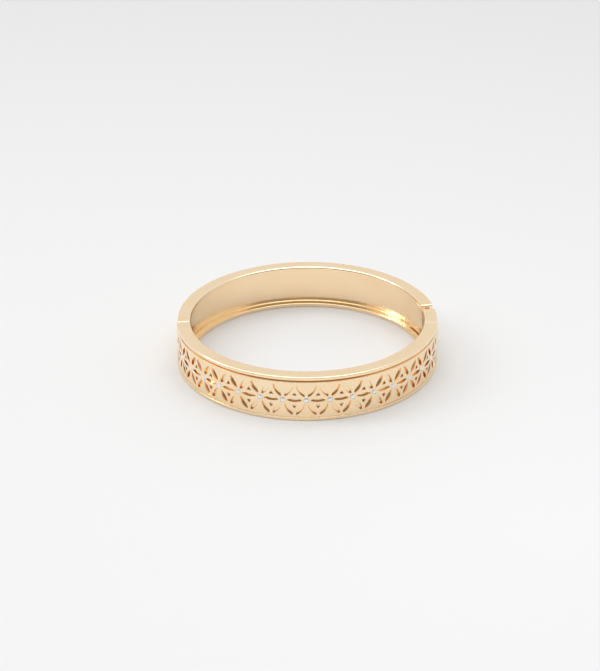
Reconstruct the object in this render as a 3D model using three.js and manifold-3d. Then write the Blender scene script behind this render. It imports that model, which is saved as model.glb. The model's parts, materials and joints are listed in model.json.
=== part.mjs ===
// A hinged oval bangle, lying flat: +Z is up, the floor is z = 0, and the long axis of the oval is X.
// The decorated half faces -Y. The hinge is at the +X end and the magnetic clasp at the -X end.
import * as THREE from "three";
import { mergeVertices } from "three/addons/utils/BufferGeometryUtils.js";
import Module from "manifold-3d";

const wasm = await Module();
wasm.setup();

// ---------------------------------------------------------------- driving dimensions, millimetres

// The reference oval is the outer face of the plain half. Offsets are measured outwards from it.
const HALF_LENGTH = 34;
const HALF_DEPTH = 32.2;
const HEIGHT = 12.4;
const WALL = 3.4;
const FIT_GAP = 0.05;
const SWEEP_STEP = 2.9;
const CUT_PAST = 0.5;

// Edges of the two shells, and the hollow on their inner side.
const OUTER_EDGE = 0.3;
const INNER_EDGE = 0.6;
const HOLLOW_DEPTH = 2;
const FLANGE = 1.1;
const HOLLOW_CORNER = 0.2;

// The front shell stands proud of the hinge block and the back shell.
const FRONT_PROUD = 0.25;
const TOP_RAIL = 0.86;
const BOTTOM_RAIL = 0.9;
const TRAY_FLOOR = -0.55;
const STILE = 0.45;

// The pierced panel in the front shell's tray.
const PANEL_THICKNESS = 0.6;
const PANEL_FACE = TRAY_FLOOR + FIT_GAP + PANEL_THICKNESS;
const PANEL_GROOVE = 0.67;
const PANEL_BASE = BOTTOM_RAIL + FIT_GAP;
const PANEL_TOP = HEIGHT - TOP_RAIL - PANEL_GROOVE;
const PATTERN_DROP = 0.1;
const PATTERN_MIDDLE = (PANEL_BASE + PANEL_TOP) / 2 - PATTERN_DROP;

// The pattern: a row of stones with lens-shaped piercings on a triangular net between them.
const STONES = 17;
const STONE_END_MARGIN = 1.4;
const PETAL_LEAN = (33 * Math.PI) / 180;
const PETAL_RISE = 2.6;
const PETAL_START = 1.1;
const PETAL_WIDTH = 1.15;
const LEVEL_PETAL_WIDTH = 1.05;
const PETAL_ARC_STEPS = 3;
const SPUR_RISE = 1.85;
const SPUR_HALF_WIDTH = 0.6;
const SPUR_TALL = 1.1;

// Stones.
const SEAT_RADIUS = 0.71;
const GIRDLE_RADIUS = 0.64;
const STONE_TABLE_RADIUS = 0.38;
const STONE_CULET_RADIUS = 0.12;
const STONE_CROWN = 0.16;
const STONE_GIRDLE = 0.06;
const STONE_PAVILION = 0.36;
const STONE_TOP = 0.22;
const STONE_SIDES = 8;
const SEAT_SIDES = 8;

// Joints. The hinge axis stands in the middle of the wall, in the open slot between the two halves.
const CLASP_Y = 0.4;
const CLASP_GAP = 0.1;
const HINGE_Y = 1.8;
const SLOT_HALF = 1.1;
const STEP_Y = -7.3;

// Hinge knuckles.
const BARREL_RADIUS = 1;
const NECK_HALF = 0.9;
const PIN_RADIUS = 0.5;
const PIN_CLEARANCE = 0.05;
const PIN_HEAD_RADIUS = 0.62;
const PIN_HEAD_HEIGHT = 0.3;
const ROUND_SIDES = 20;
const KNUCKLE_LOW = 0.9;
const KNUCKLE_TOP = HEIGHT - KNUCKLE_LOW;
const TONGUE_LOW = 4.5;
const TONGUE_TOP = HEIGHT - TONGUE_LOW;
const KNUCKLE_GAP = 0.08;
const LEAF_LENGTH = 10.6;
const LEAF_THICKNESS = 0.5;
const LEAF_TO_FLANGE = 0.3;
const LEAF_LOW = FLANGE + LEAF_TO_FLANGE;
const TENON_LENGTH = 3;
const TENON_ROOT = 1;

// Clasp inserts, their magnets and the locating tongue.
const CLASP_INSERT_LENGTH = 3.4;
const MAGNET = { radial: 1.2, tall: 2.6, deep: 1.5 };
const MAGNET_LEVELS = { lower: 3, upper: HEIGHT - 3 };
const MAGNET_SUNK = 0.06;
const LATCH = { radial: 0.9, tall: 2, embedded: 1.6, reach: 1.4, taper: 0.5 };
const LATCH_CLEARANCE = 0.15;

// ---------------------------------------------------------------- the oval

const oval = new THREE.EllipseCurve(0, 0, HALF_LENGTH, HALF_DEPTH, 0, 2 * Math.PI);
oval.arcLengthDivisions = 2000;
const PERIMETER = oval.getLength();
const EPSILON = 1e-9;
const MERGE_DISTANCE = 1e-5;

// The eccentric angle at a distance along the oval, counter-clockwise from the +X end.
function angleAt(distance) {
  const wrapped = ((distance % PERIMETER) + PERIMETER) % PERIMETER;
  return 2 * Math.PI * oval.getUtoTmapping(0, wrapped);
}

// The outward normal, the tangent and the point of the reference oval at that distance.
function frameAt(distance) {
  const angle = angleAt(distance);
  const normal = new THREE.Vector3(Math.cos(angle) / HALF_LENGTH, Math.sin(angle) / HALF_DEPTH, 0);
  normal.normalize();
  const tangent = new THREE.Vector3(-normal.y, normal.x, 0);
  const point = new THREE.Vector3(HALF_LENGTH * Math.cos(angle), HALF_DEPTH * Math.sin(angle), 0);
  return { point, normal, tangent };
}

// The distance at which the right-hand (+X) or left-hand (-X) side of the oval has a given y.
function distanceAtY(y, side) {
  const quarter = PERIMETER / 4;
  let low = side > 0 ? -quarter : quarter;
  let high = low + 2 * quarter;
  const rising = side > 0 ? 1 : -1;
  while (high - low > EPSILON) {
    const middle = (low + high) / 2;
    if (rising * (frameAt(middle).point.y - y) < 0) {
      low = middle;
    } else {
      high = middle;
    }
  }
  return (low + high) / 2;
}

const HINGE_AT = distanceAtY(HINGE_Y, 1);
const CLASP_AT = distanceAtY(CLASP_Y, -1);
const STEP_AT = distanceAtY(STEP_Y, 1) + PERIMETER;
const BACK_START = HINGE_AT + SLOT_HALF;
const BACK_END = CLASP_AT - CLASP_GAP / 2;
const FRONT_START = CLASP_AT + CLASP_GAP / 2;
const FRONT_END = STEP_AT;
const BLOCK_START = STEP_AT + FIT_GAP;
const BLOCK_END = HINGE_AT + PERIMETER - SLOT_HALF;

// Distances from start to end in nearly equal steps.
function stations(start, end) {
  const count = Math.max(1, Math.round((end - start) / SWEEP_STEP));
  return Array.from({ length: count + 1 }, (_, i) => start + ((end - start) * i) / count);
}

// ---------------------------------------------------------------- solids

function solidFrom(geometry) {
  const bare = geometry.clone();
  bare.deleteAttribute("normal");
  bare.deleteAttribute("uv");
  const merged = mergeVertices(bare, MERGE_DISTANCE);
  const mesh = new wasm.Mesh({
    numProp: 3,
    vertProperties: new Float32Array(merged.attributes.position.array),
    triVerts: new Uint32Array(merged.index.array),
  });
  return new wasm.Manifold(mesh);
}

function geometryFrom(solid) {
  const mesh = solid.getMesh();
  const geometry = new THREE.BufferGeometry();
  geometry.setAttribute("position", new THREE.BufferAttribute(mesh.vertProperties, 3));
  geometry.setIndex(new THREE.BufferAttribute(mesh.triVerts, 1));
  return geometry;
}

// Sweeps a section, drawn counter-clockwise as [offset, z] points, along the oval.
function sweep(section, along) {
  const positions = [];
  const index = [];
  const size = section.length;
  for (const distance of along) {
    const { point, normal } = frameAt(distance);
    for (const [offset, z] of section) {
      positions.push(point.x + offset * normal.x, point.y + offset * normal.y, z);
    }
  }
  for (let i = 0; i + 1 < along.length; i++) {
    for (let j = 0; j < size; j++) {
      const next = (j + 1) % size;
      const a = i * size + j;
      const b = (i + 1) * size + j;
      const c = (i + 1) * size + next;
      const d = i * size + next;
      index.push(a, b, c, a, c, d);
    }
  }
  const outline = section.map(([offset, z]) => new THREE.Vector2(offset, z));
  const last = (along.length - 1) * size;
  for (const [a, b, c] of THREE.ShapeUtils.triangulateShape(outline, [])) {
    index.push(a, b, c, last + a, last + c, last + b);
  }
  const geometry = new THREE.BufferGeometry();
  geometry.setAttribute("position", new THREE.Float32BufferAttribute(positions, 3));
  geometry.setIndex(index);
  return solidFrom(geometry);
}

// Places a geometry drawn as x = along the oval, y = up, z = outwards at a distance, offset and height.
function placed(geometry, distance, offset, height) {
  const { point, normal, tangent } = frameAt(distance);
  const matrix = new THREE.Matrix4().makeBasis(tangent, new THREE.Vector3(0, 0, 1), normal);
  const origin = point.clone().addScaledVector(normal, offset);
  matrix.setPosition(origin.x, origin.y, height);
  return geometry.clone().applyMatrix4(matrix);
}

function boxAt(distance, offset, height, size) {
  const box = new THREE.BoxGeometry(size.along, size.tall, size.radial);
  return solidFrom(placed(box, distance, offset, height));
}

// ---------------------------------------------------------------- the hinge's own frame

const hingeFrame = frameAt(HINGE_AT);
const hingeAxis = hingeFrame.point.clone().addScaledVector(hingeFrame.normal, -WALL / 2);

// A cylinder on the hinge axis.
function hingeCylinder(radius, low, high) {
  const cylinder = new THREE.CylinderGeometry(radius, radius, high - low, ROUND_SIDES);
  cylinder.rotateX(Math.PI / 2);
  cylinder.translate(hingeAxis.x, hingeAxis.y, (low + high) / 2);
  return solidFrom(cylinder);
}

// A box beside the hinge axis: along the wall from nearest to furthest, and across it, inwards to outwards.
function hingeBox([nearest, furthest], [inwards, outwards], low, high) {
  const box = new THREE.BoxGeometry(furthest - nearest, outwards - inwards, high - low);
  box.translate((nearest + furthest) / 2, -(inwards + outwards) / 2, (low + high) / 2);
  const matrix = new THREE.Matrix4().makeBasis(
    hingeFrame.tangent,
    hingeFrame.normal.clone().negate(),
    new THREE.Vector3(0, 0, 1),
  );
  matrix.setPosition(hingeAxis.x, hingeAxis.y, 0);
  return solidFrom(box.applyMatrix4(matrix));
}

// ---------------------------------------------------------------- sections

// A full rectangular wall with its four long edges eased.
function wallSection(proud) {
  return [
    [proud - OUTER_EDGE, 0],
    [proud, OUTER_EDGE],
    [proud, HEIGHT - OUTER_EDGE],
    [proud - OUTER_EDGE, HEIGHT],
    [INNER_EDGE - WALL, HEIGHT],
    [-WALL, HEIGHT - INNER_EDGE],
    [-WALL, OUTER_EDGE],
    [OUTER_EDGE - WALL, 0],
  ];
}

// The same wall, hollowed from the inner side between two flanges.
function channelSection(proud) {
  const hollow = HOLLOW_DEPTH - WALL;
  return [
    ...wallSection(proud).slice(0, 6),
    [-WALL, HEIGHT - FLANGE],
    [hollow - HOLLOW_CORNER, HEIGHT - FLANGE],
    [hollow, HEIGHT - FLANGE - HOLLOW_CORNER],
    [hollow, FLANGE + HOLLOW_CORNER],
    [hollow - HOLLOW_CORNER, FLANGE],
    [-WALL, FLANGE],
    ...wallSection(proud).slice(6),
  ];
}

// What fills the hollow at the end of a shell, with a fitting gap all round.
function insertSection() {
  const hollow = HOLLOW_DEPTH - WALL - FIT_GAP;
  const low = FLANGE + FIT_GAP;
  const high = HEIGHT - low;
  return [
    [-WALL, low],
    [hollow - HOLLOW_CORNER, low],
    [hollow, low + HOLLOW_CORNER],
    [hollow, high - HOLLOW_CORNER],
    [hollow - HOLLOW_CORNER, high],
    [-WALL, high],
  ];
}

const INSERT_MIDDLE = (HOLLOW_DEPTH - FIT_GAP) / 2 - WALL;

function rectangle(inner, outer, low, high) {
  return [
    [outer, low],
    [outer, high],
    [inner, high],
    [inner, low],
  ];
}

// ---------------------------------------------------------------- shells and panel

const TRAY_START = FRONT_START + STILE;
const TRAY_END = FRONT_END - STILE;

function frontShell() {
  const trayStations = stations(TRAY_START, TRAY_END);
  const along = [FRONT_START, ...trayStations, FRONT_END];
  const tray = rectangle(TRAY_FLOOR, FRONT_PROUD + CUT_PAST, BOTTOM_RAIL, HEIGHT - TOP_RAIL);
  return sweep(channelSection(FRONT_PROUD), along).subtract(sweep(tray, trayStations));
}

function backShell() {
  return sweep(channelSection(0), stations(BACK_START, BACK_END));
}

const STONE_PITCH = (FRONT_END - FRONT_START - 2 * STONE_END_MARGIN) / (STONES - 1);
const stoneDistance = (i) => FRONT_START + STONE_END_MARGIN + i * STONE_PITCH;
const petalLength = STONE_PITCH - 2 * PETAL_START;

// A lens standing upright on the origin, cut through the panel.
function petal(length, width) {
  const half = width / 2;
  const radius = (length * length + width * width) / (4 * width);
  const sweepAngle = Math.asin(length / 2 / radius);
  const outline = new THREE.Shape();
  outline.absarc(half - radius, 0, radius, -sweepAngle, sweepAngle, false);
  outline.absarc(radius - half, 0, radius, Math.PI - sweepAngle, Math.PI + sweepAngle, false);
  return cutter(outline);
}

// A small triangle that points up, its middle on the origin.
function spur() {
  const outline = new THREE.Shape([
    new THREE.Vector2(-SPUR_HALF_WIDTH, -SPUR_TALL / 2),
    new THREE.Vector2(SPUR_HALF_WIDTH, -SPUR_TALL / 2),
    new THREE.Vector2(0, SPUR_TALL / 2),
  ]);
  return cutter(outline);
}

function cutter(outline) {
  const depth = 2 * (PANEL_THICKNESS + CUT_PAST);
  const shape = new THREE.ExtrudeGeometry(outline, {
    depth,
    bevelEnabled: false,
    curveSegments: PETAL_ARC_STEPS,
  });
  return shape.translate(0, 0, -depth / 2);
}

// One piercing at a distance along the oval and a height above the row of stones.
function pierce(panel, shape, distance, rise, turn) {
  const turned = shape.clone().rotateZ(turn);
  return panel.subtract(solidFrom(placed(turned, distance, 0, PATTERN_MIDDLE + rise)));
}

function filigreePanel() {
  const section = rectangle(PANEL_FACE - PANEL_THICKNESS, PANEL_FACE, PANEL_BASE, PANEL_TOP);
  const start = TRAY_START + FIT_GAP;
  const end = TRAY_END - FIT_GAP;
  const inner = stations(TRAY_START, TRAY_END).slice(1, -1);
  let panel = sweep(section, [start, ...inner, end]);
  const slanted = petal(petalLength, PETAL_WIDTH);
  const level = petal(petalLength, LEVEL_PETAL_WIDTH);
  const triangle = spur();
  const seatDepth = 2 * (PANEL_THICKNESS + CUT_PAST);
  const seat = new THREE.CylinderGeometry(SEAT_RADIUS, SEAT_RADIUS, seatDepth, SEAT_SIDES);
  seat.rotateX(Math.PI / 2);
  for (let i = 0; i < STONES; i++) {
    const here = stoneDistance(i);
    panel = pierce(panel, seat, here, 0, 0);
    for (const side of [-1, 1]) {
      const beside = here + (side * STONE_PITCH) / 4;
      if (beside < stoneDistance(0) || beside > stoneDistance(STONES - 1)) {
        continue;
      }
      panel = pierce(panel, slanted, beside, PETAL_RISE, -side * PETAL_LEAN);
      panel = pierce(panel, slanted, beside, -PETAL_RISE, side * PETAL_LEAN);
    }
    if (i < STONES - 1) {
      const between = here + STONE_PITCH / 2;
      panel = pierce(panel, level, between, 0, Math.PI / 2);
      panel = pierce(panel, triangle, between, SPUR_RISE, 0);
      panel = pierce(panel, triangle, between, -SPUR_RISE, Math.PI);
    }
  }
  return panel;
}

// A small faceted stone: table, crown, girdle, pavilion and a blunt culet, with its table facing +Y.
function stoneGeometry() {
  const girdleTop = STONE_TOP - STONE_CROWN;
  const girdleFoot = girdleTop - STONE_GIRDLE;
  const profile = [
    new THREE.Vector2(0, girdleFoot - STONE_PAVILION),
    new THREE.Vector2(STONE_CULET_RADIUS, girdleFoot - STONE_PAVILION),
    new THREE.Vector2(GIRDLE_RADIUS, girdleFoot),
    new THREE.Vector2(GIRDLE_RADIUS, girdleTop),
    new THREE.Vector2(STONE_TABLE_RADIUS, STONE_TOP),
    new THREE.Vector2(0, STONE_TOP),
  ];
  return new THREE.LatheGeometry(profile, STONE_SIDES);
}

// ---------------------------------------------------------------- hinge

// A knuckle barrel with the neck that ties it to the block of the front half.
function ear(low, high) {
  const neck = hingeBox([-SLOT_HALF - CUT_PAST, 0], [-NECK_HALF, NECK_HALF], low, high);
  return hingeCylinder(BARREL_RADIUS, low, high).add(neck);
}

function pinHole() {
  return hingeCylinder(PIN_RADIUS + PIN_CLEARANCE, -CUT_PAST, HEIGHT + CUT_PAST);
}

function pinHeadRoom() {
  return hingeCylinder(PIN_HEAD_RADIUS + PIN_CLEARANCE, KNUCKLE_TOP - PIN_HEAD_HEIGHT, HEIGHT);
}

function frontHingeBlock() {
  const along = stations(BLOCK_START, BLOCK_END);
  const tenon = sweep(
    insertSection(),
    stations(BLOCK_START - TENON_LENGTH, BLOCK_START + TENON_ROOT),
  );
  return sweep(wallSection(0), along)
    .add(tenon)
    .add(ear(KNUCKLE_LOW, TONGUE_LOW - KNUCKLE_GAP))
    .add(ear(TONGUE_TOP + KNUCKLE_GAP, KNUCKLE_TOP))
    .subtract(pinHole())
    .subtract(pinHeadRoom());
}

// A leaf that lies against the outer wall of the back shell's hollow and carries the middle knuckle.
function backHingeLeaf() {
  const outer = HOLLOW_DEPTH - WALL - FIT_GAP;
  const section = rectangle(outer - LEAF_THICKNESS, outer, LEAF_LOW, HEIGHT - LEAF_LOW);
  const low = TONGUE_LOW + KNUCKLE_GAP;
  const high = TONGUE_TOP - KNUCKLE_GAP;
  const half = LEAF_THICKNESS / 2;
  const neck = hingeBox([0, SLOT_HALF + CUT_PAST], [-half, half], low, high);
  return sweep(section, stations(BACK_START, BACK_START + LEAF_LENGTH))
    .add(neck)
    .add(hingeCylinder(BARREL_RADIUS, low, high))
    .subtract(pinHole());
}

function hingePin() {
  const headFoot = KNUCKLE_TOP - PIN_HEAD_HEIGHT + FIT_GAP;
  const shank = hingeCylinder(PIN_RADIUS, KNUCKLE_LOW, headFoot + FIT_GAP);
  const head = hingeCylinder(PIN_HEAD_RADIUS, headFoot, KNUCKLE_TOP);
  return shank.add(head);
}

// ---------------------------------------------------------------- clasp

// A block centred along the wall so that it starts at the end face and runs inwards by its length.
function endBox(endDistance, inwards, length, height, size) {
  const middle = endDistance + (inwards * length) / 2;
  return boxAt(middle, INSERT_MIDDLE, height, { along: length, ...size });
}

// The same as a cutter for a pocket of that depth, which runs past the end face.
function endPocket(end, inwards, depth, height, size) {
  return endBox(end - inwards * CUT_PAST, inwards, depth + CUT_PAST, height, size);
}

function claspInsert(end, inwards, latchRoom) {
  const other = end + inwards * CLASP_INSERT_LENGTH;
  const along = stations(Math.min(end, other), Math.max(end, other));
  let insert = sweep(insertSection(), along);
  for (const level of Object.values(MAGNET_LEVELS)) {
    const pocket = { radial: MAGNET.radial + 2 * FIT_GAP, tall: MAGNET.tall + 2 * FIT_GAP };
    insert = insert.subtract(
      endPocket(end, inwards, MAGNET.deep + MAGNET_SUNK + FIT_GAP, level, pocket),
    );
  }
  return insert.subtract(latchRoom);
}

function frontClaspInsert() {
  const room = { radial: LATCH.radial + 2 * FIT_GAP, tall: LATCH.tall + 2 * FIT_GAP };
  const pocket = endPocket(FRONT_START, 1, LATCH.embedded + FIT_GAP, HEIGHT / 2, room);
  return claspInsert(FRONT_START, 1, pocket);
}

function backClaspInsert() {
  const room = {
    radial: LATCH.radial + 2 * LATCH_CLEARANCE,
    tall: LATCH.tall + 2 * LATCH_CLEARANCE,
  };
  const depth = LATCH.reach + LATCH_CLEARANCE;
  const pocket = endPocket(BACK_END, -1, depth, HEIGHT / 2, room);
  return claspInsert(BACK_END, -1, pocket);
}

// The tongue, with its leading end tapered on both broad faces.
function claspTongue() {
  const start = FRONT_START + LATCH.embedded;
  const length = LATCH.embedded + LATCH.reach;
  const half = LATCH.radial / 2;
  const { taper } = LATCH;
  const outline = new THREE.Shape([
    new THREE.Vector2(0, -half),
    new THREE.Vector2(length - taper, -half),
    new THREE.Vector2(length, -half / 2),
    new THREE.Vector2(length, half / 2),
    new THREE.Vector2(length - taper, half),
    new THREE.Vector2(0, half),
  ]);
  const blade = new THREE.ExtrudeGeometry(outline, { depth: LATCH.tall, bevelEnabled: false });
  blade.rotateX(-Math.PI / 2);
  blade.translate(0, -LATCH.tall / 2, 0);
  blade.rotateY(Math.PI);
  return placed(blade, start, INSERT_MIDDLE, HEIGHT / 2);
}

function magnetGeometry(end, inwards, level) {
  const middle = end + inwards * (MAGNET_SUNK + MAGNET.deep / 2);
  const block = new THREE.BoxGeometry(MAGNET.deep, MAGNET.tall, MAGNET.radial);
  return placed(block, middle, INSERT_MIDDLE, level);
}

// ---------------------------------------------------------------- materials

const goldPlate = new THREE.MeshStandardMaterial({
  color: 0xf0cf9f,
  roughness: 0.22,
  metalness: 1,
  flatShading: true,
});
const goldPanel = new THREE.MeshStandardMaterial({
  color: 0xf2ca97,
  roughness: 0.3,
  metalness: 1,
  flatShading: true,
});
const clearStone = new THREE.MeshStandardMaterial({
  color: 0xf4f6fa,
  roughness: 0.05,
  metalness: 0,
  flatShading: true,
});
const pinSteel = new THREE.MeshStandardMaterial({
  color: 0xd9a866,
  roughness: 0.35,
  metalness: 1,
  flatShading: true,
});
const magnetNickel = new THREE.MeshStandardMaterial({
  color: 0xc9cacc,
  roughness: 0.25,
  metalness: 1,
  flatShading: true,
});

// ---------------------------------------------------------------- assembly

// The reference oval is moved so that the origin is under the middle of the whole bangle.
const bangle = new THREE.Group();
bangle.position.set(FRONT_PROUD / 2, FRONT_PROUD / 2, 0);
const frontHalf = new THREE.Group();
const backHalf = new THREE.Group();
bangle.add(frontHalf, backHalf);

function addMesh(half, name, geometry, material) {
  const mesh = new THREE.Mesh(geometry, material);
  mesh.name = name;
  half.add(mesh);
  return mesh;
}

addMesh(frontHalf, "front_shell", geometryFrom(frontShell()), goldPlate);
addMesh(frontHalf, "filigree_panel", geometryFrom(filigreePanel()), goldPanel);
addMesh(frontHalf, "front_hinge_block", geometryFrom(frontHingeBlock()), goldPlate);
addMesh(frontHalf, "hinge_pin", geometryFrom(hingePin()), pinSteel);
addMesh(frontHalf, "front_clasp_insert", geometryFrom(frontClaspInsert()), goldPlate);
addMesh(frontHalf, "clasp_tongue", claspTongue(), goldPlate);

addMesh(backHalf, "back_shell", geometryFrom(backShell()), goldPlate);
addMesh(backHalf, "back_hinge_leaf", geometryFrom(backHingeLeaf()), goldPlate);
addMesh(backHalf, "back_clasp_insert", geometryFrom(backClaspInsert()), goldPlate);

for (const [level, height] of Object.entries(MAGNET_LEVELS)) {
  addMesh(frontHalf, `front_magnet_${level}`, magnetGeometry(FRONT_START, 1, height), magnetNickel);
  addMesh(backHalf, `back_magnet_${level}`, magnetGeometry(BACK_END, -1, height), magnetNickel);
}

const facing = new THREE.Vector3(0, 1, 0);
for (let i = 0; i < STONES; i++) {
  const { point, normal } = frameAt(stoneDistance(i));
  const name = `crystal_${String(i + 1).padStart(2, "0")}`;
  const stone = addMesh(frontHalf, name, stoneGeometry(), clearStone);
  stone.position.set(point.x, point.y, PATTERN_MIDDLE);
  stone.quaternion.setFromUnitVectors(facing, normal);
}

export default bangle;
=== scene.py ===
import json
import math

import bmesh
import bpy
import numpy as np
from mathutils import Matrix, Vector
from mathutils.geometry import delaunay_2d_cdt


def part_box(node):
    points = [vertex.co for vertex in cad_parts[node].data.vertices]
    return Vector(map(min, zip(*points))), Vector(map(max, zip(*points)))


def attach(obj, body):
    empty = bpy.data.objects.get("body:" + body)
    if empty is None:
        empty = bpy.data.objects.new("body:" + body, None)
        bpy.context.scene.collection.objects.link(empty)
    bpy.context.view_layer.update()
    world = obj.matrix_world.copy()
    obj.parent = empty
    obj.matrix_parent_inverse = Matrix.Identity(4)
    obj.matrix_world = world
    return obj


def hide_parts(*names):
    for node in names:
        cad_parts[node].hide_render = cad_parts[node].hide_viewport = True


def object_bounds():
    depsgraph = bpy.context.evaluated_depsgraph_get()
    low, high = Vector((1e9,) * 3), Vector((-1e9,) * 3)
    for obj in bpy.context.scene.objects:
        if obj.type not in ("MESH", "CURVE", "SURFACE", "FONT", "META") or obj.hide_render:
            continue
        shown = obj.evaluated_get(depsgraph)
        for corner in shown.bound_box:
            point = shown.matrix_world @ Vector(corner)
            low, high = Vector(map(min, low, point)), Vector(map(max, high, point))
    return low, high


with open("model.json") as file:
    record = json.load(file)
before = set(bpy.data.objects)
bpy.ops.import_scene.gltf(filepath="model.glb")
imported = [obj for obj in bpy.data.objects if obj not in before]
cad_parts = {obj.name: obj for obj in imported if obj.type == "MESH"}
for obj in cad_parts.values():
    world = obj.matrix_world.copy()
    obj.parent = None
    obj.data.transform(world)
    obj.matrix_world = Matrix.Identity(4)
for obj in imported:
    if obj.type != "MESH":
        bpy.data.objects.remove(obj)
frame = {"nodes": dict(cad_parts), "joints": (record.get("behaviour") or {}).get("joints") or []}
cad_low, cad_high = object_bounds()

# ------------------------------------------------------------ driving dimensions, in metres

# Offsets are measured outwards from the outer face of the plain half, which is an oval.
# The front half stands proud of it.
MM = 0.001
PROUD = 0.25 * MM
HALF_LENGTH = (cad_high.x - cad_low.x - PROUD) / 2
HALF_DEPTH = (cad_high.y - cad_low.y - PROUD) / 2
CENTRE = np.array([cad_low.x + PROUD + HALF_LENGTH, cad_low.y + PROUD + HALF_DEPTH, 0])
HEIGHT = cad_high.z
WALL = 3.4 * MM
FIT_GAP = 0.05 * MM

# Sections of the two shells. All their edges have the same radius but the upper one inside the bangle.
EDGE_RADIUS = 0.3 * MM
TOP_INNER_RADIUS = 0.5 * MM
HOLLOW_OFFSET = -1.4 * MM
FLANGE = 1.1 * MM
HOLLOW_CORNER = 0.25 * MM
FLANGE_LIP = 0.22 * MM
TRAY_FLOOR = -0.55 * MM
TRAY_LIP = 0.08 * MM
TRAY_CORNER = 0.1 * MM
TRAY_DRAFT = 0.02 * MM
BOTTOM_RAIL = 0.9 * MM
TOP_RAIL = 0.86 * MM
STILE = 0.45 * MM
INSERT_EDGE = 0.08 * MM

# How finely the pieces are made: the step along the oval, and the turn between two points of an arc.
STATION_STEP = 0.55 * MM
ARC_TURN = math.radians(15)
PIERCING_TURN = math.radians(16)
EASE_STEPS = 4
FINE_RADIUS = 0.01 * MM

# How close two points are one: in an outline, and in the panel's triangles, which are made in mm.
SAME_POINT = 0.001 * MM
CDT_MERGE = 1e-6

# Where the halves meet, by the y of each joint on the oval.
CLASP_Y = 0.4 * MM
CLASP_GAP = 0.1 * MM
CLASP_EASE = 0.25 * MM
HINGE_Y = 1.8 * MM
SLOT_HALF = 1.1 * MM
FRONT_SLOT_EASE = 0.15 * MM
BACK_SLOT_EASE = 0.45 * MM
STEP_Y = -7.3 * MM
STEP_EASE = 0.05 * MM

# Knuckles and pin.
HINGE_X, HINGE_AXIS_Y, _ = frame["joints"][0]["pos_m"]
BARREL_RADIUS = 1 * MM
NECK_HALF = 0.9 * MM
NECK_PAST = 0.5 * MM
PIN_RADIUS = 0.5 * MM
PIN_HOLE_RADIUS = 0.55 * MM
PIN_HEAD_RADIUS = 0.62 * MM
PIN_HEAD_ROOM = 0.67 * MM
PIN_HEAD_HEIGHT = 0.25 * MM
PIN_DOME = 0.12 * MM
KNUCKLE_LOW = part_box("hinge_pin")[0].z
KNUCKLE_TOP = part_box("hinge_pin")[1].z
TONGUE_LOW = 4.5 * MM
TONGUE_TOP = HEIGHT - TONGUE_LOW
KNUCKLE_GAP = 0.08 * MM
KNUCKLE_BEVEL = 0.1 * MM
TENON_LENGTH = 3 * MM
TENON_ROOT = 1 * MM
LEAF_LENGTH = 10.6 * MM
LEAF_THICKNESS = 0.5 * MM
LEAF_LOW = 1.4 * MM
LEAF_EDGE = 0.08 * MM
ROUND_SIDES = 64

# Clasp.
CLASP_INSERT_LENGTH = 3.4 * MM
INSERT_MIDDLE = -2.425 * MM
MAGNET_RADIAL = 1.2 * MM
MAGNET_TALL = 2.6 * MM
MAGNET_DEEP = 1.5 * MM
MAGNET_SUNK = 0.06 * MM
POCKET_PAST = 0.5 * MM
CLASP_BEVEL = 0.12 * MM
LATCH_RADIAL = 0.9 * MM
LATCH_TALL = 2 * MM
LATCH_EMBEDDED = 1.6 * MM
LATCH_REACH = 1.4 * MM
LATCH_CLEARANCE = 0.15 * MM

# The pierced panel.
PANEL_FACE = 0.1 * MM
PANEL_THICKNESS = 0.6 * MM
PANEL_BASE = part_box("filigree_panel")[0].z
PANEL_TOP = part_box("filigree_panel")[1].z
PANEL_EDGE = 0.09 * MM
EDGE_STEPS = 3
PANEL_CORNER = 0.25 * MM
GRID_STEP = 0.5 * MM
HOLE_MARGIN = 0.2 * MM
PETAL_LEAN = math.radians(33)
PETAL_RISE = 2.6 * MM
PETAL_START = 1.1 * MM
PETAL_WIDTH = 1.15 * MM
LEVEL_PETAL_WIDTH = 1.05 * MM
PETAL_TIP = 0.17 * MM
SPUR_RISE = 1.85 * MM
SPUR_HALF_WIDTH = 0.6 * MM
SPUR_TALL = 1.1 * MM
SPUR_TIP = 0.12 * MM
SEAT_RADIUS = 0.66 * MM
SEAT_DEPTH = 0.52 * MM

# A stone, as (radius, height above the oval) or as a height alone.
STONE_FOLD = 8
STONE_TABLE = (0.36 * MM, 0.22 * MM)
STONE_STAR = (0.5 * MM, 0.16 * MM)
STONE_GIRDLE = (0.635 * MM, 0.06 * MM)
STONE_GIRDLE_FOOT = 0.02 * MM
STONE_PAVILION = (0.3 * MM, -0.05 * MM)
STONE_CULET = -0.09 * MM


def linked(name, data):
    """A new object that is in the scene."""
    made = bpy.data.objects.new(name, data)
    bpy.context.scene.collection.objects.link(made)
    return made


# ------------------------------------------------------------ camera

CAMERA_AZIMUTH = math.radians(-6.225)
CAMERA_ELEVATION = math.radians(28.595)
CAMERA_DISTANCE = 0.48
CAMERA_LENS = 97.75
AIM_RIGHT = -1.823 * MM
AIM_UP = 0.413 * MM

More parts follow.
